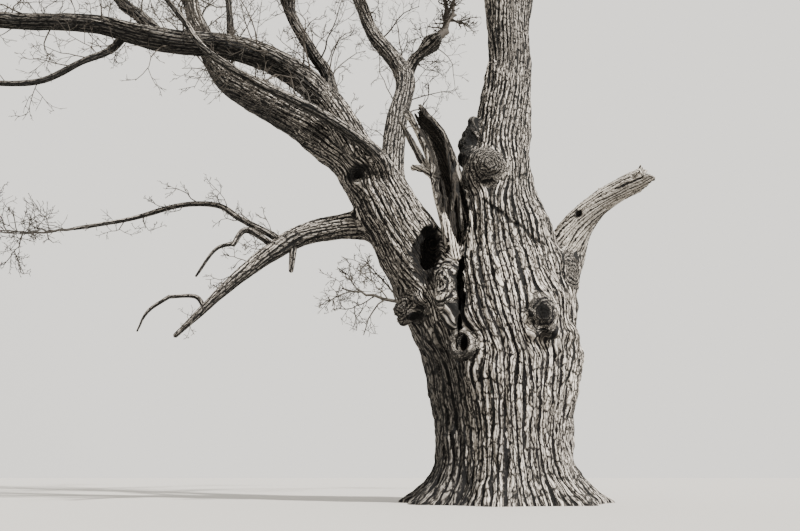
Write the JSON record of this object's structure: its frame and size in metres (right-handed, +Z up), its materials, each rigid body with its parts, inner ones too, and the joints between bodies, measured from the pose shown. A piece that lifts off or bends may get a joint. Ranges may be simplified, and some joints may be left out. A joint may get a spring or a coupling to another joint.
{
  "type": "old bare oak tree in winter",
  "caption": "Old leafless oak tree: a thick flared trunk with burls, forked into a main stem and long low boughs, a hollow snag, a dead broken limb and sprays of fine twigs.",
  "frame": {"origin": "on the flat cut at ground level, under the middle of the trunk", "axes": "+Z up the trunk, -X towards the long low boughs on the left, -Y towards the side that is seen from the front"},
  "size_m": [20.8559, 15.1158, 18.3006],
  "materials": {
    "bark": "deeply ridged grey bark with dark furrows",
    "dead_wood": "weathered barkless wood with fine long cracks",
    "twigs": "thin matte twig bark"
  },
  "bodies": {
    "root": {"trunk": "bark", "right_stem": "bark", "leader": "bark", "crown_tip": "bark", "left_stem": "bark", "steep_left_bough": "bark", "long_left_bough": "bark", "left_low_branch": "bark", "left_rising_branch": "bark", "left_front_branch": "bark", "left_front_fork": "bark", "left_upright_branch": "bark", "diagonal_branch": "bark", "back_limb": "bark", "back_limb_left": "bark", "back_limb_knobbed": "bark", "low_left_limb": "bark", "low_left_branch": "bark", "dead_limb": "dead_wood", "hollow_snag": "dead_wood", "right_bough": "bark", "back_bough": "bark", "front_bough": "bark", "back_right_bough": "bark", "left_crown_bough": "bark", "front_right_bough": "bark", "back_left_bough": "bark", "front_left_bough": "bark", "top_left_bough": "bark", "right_bough_fork": "bark", "back_bough_fork": "bark", "front_bough_fork": "bark", "steep_left_fork": "bark", "twigs_long_left": "twigs", "twigs_left_low": "twigs", "twigs_left_rising": "twigs", "twigs_left_front": "twigs", "twigs_left_upright": "twigs", "twigs_diagonal": "twigs", "twigs_steep_left": "twigs", "twigs_back_limb": "twigs", "twigs_knob": "twigs", "twigs_low_left": "twigs", "twigs_crown_tip": "twigs", "twigs_right_bough": "twigs", "twigs_back_bough": "twigs", "twigs_front_bough": "twigs", "twigs_back_right_bough": "twigs", "twigs_left_crown_bough": "twigs", "twigs_front_right_bough": "twigs", "twigs_back_left_bough": "twigs", "twigs_front_left_bough": "twigs", "twigs_top_left_bough": "twigs", "twigs_right_bough_fork": "twigs", "twigs_back_bough_fork": "twigs", "twigs_front_bough_fork": "twigs", "twigs_steep_left_fork": "twigs", "twigs_left_front_fork": "twigs", "burr_sprouts": "twigs"}
  },
  "joints": []
}
